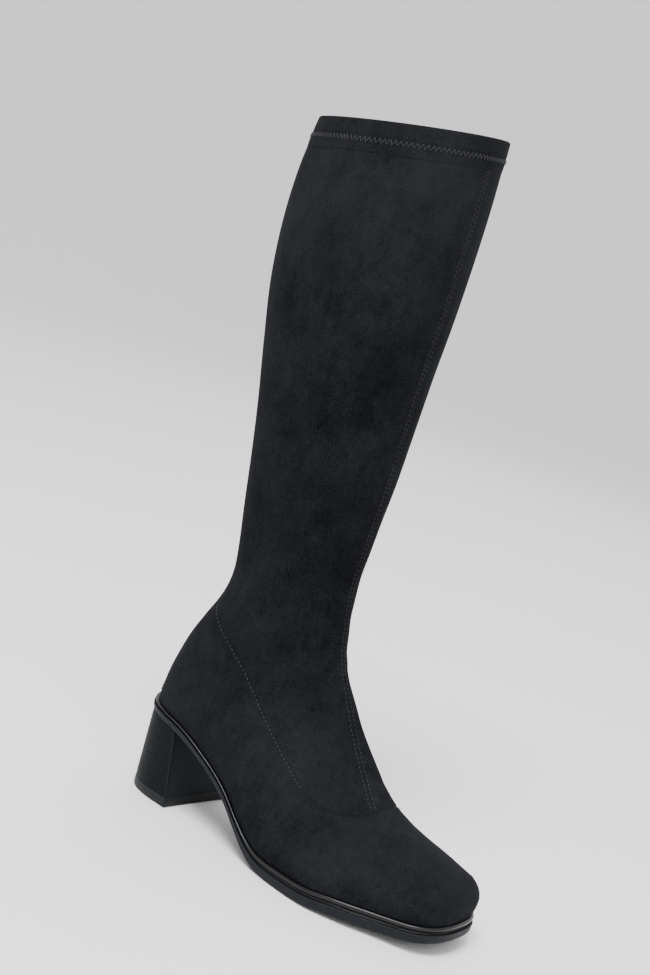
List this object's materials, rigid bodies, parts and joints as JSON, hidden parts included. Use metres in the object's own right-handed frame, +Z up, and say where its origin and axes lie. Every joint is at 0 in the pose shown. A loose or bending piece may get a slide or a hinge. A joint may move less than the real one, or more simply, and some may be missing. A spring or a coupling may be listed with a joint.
{
  "type": "knee-high boot",
  "caption": "Knee-high sock-style boot for the right foot, with a soft square toe, a flared block heel, an elastic collar and a full-length zip on the inner side.",
  "frame": {"origin": "middle of the boot's bounding box, on the ground it stands on", "axes": "+Z up, toe towards -Y, the foot's outer side towards -X and its inner side, with the zip, towards +X"},
  "size_m": [0.122, 0.248, 0.4468],
  "materials": {
    "suede": "matte brushed nap",
    "elastic": "matte brushed nap",
    "sock_lining": "matte",
    "welt_gloss": "polished",
    "outsole_rubber": "satin",
    "stacked_heel": "satin, fine stacked lines",
    "top_piece_rubber": "satin",
    "zip_teeth": "satin",
    "zip_metal": "polished"
  },
  "bodies": {
    "boot": {"upper": "suede", "collar_band": "elastic", "insole": "sock_lining", "welt": "welt_gloss", "outsole": "outsole_rubber", "heel_block": "stacked_heel", "heel_top_piece": "top_piece_rubber", "zip_chain": "zip_teeth", "zip_slider": "zip_metal"},
    "zip_pull": {"zip_pull": "zip_metal"}
  },
  "joints": [
    {"name": "pull_hinge", "type": "hinge", "parent": "boot", "child": "zip_pull", "pos_m": [0.05779, 0.07133, 0.42555], "axis": [0, -1, 0], "range_deg": [0, 160]}
  ]
}
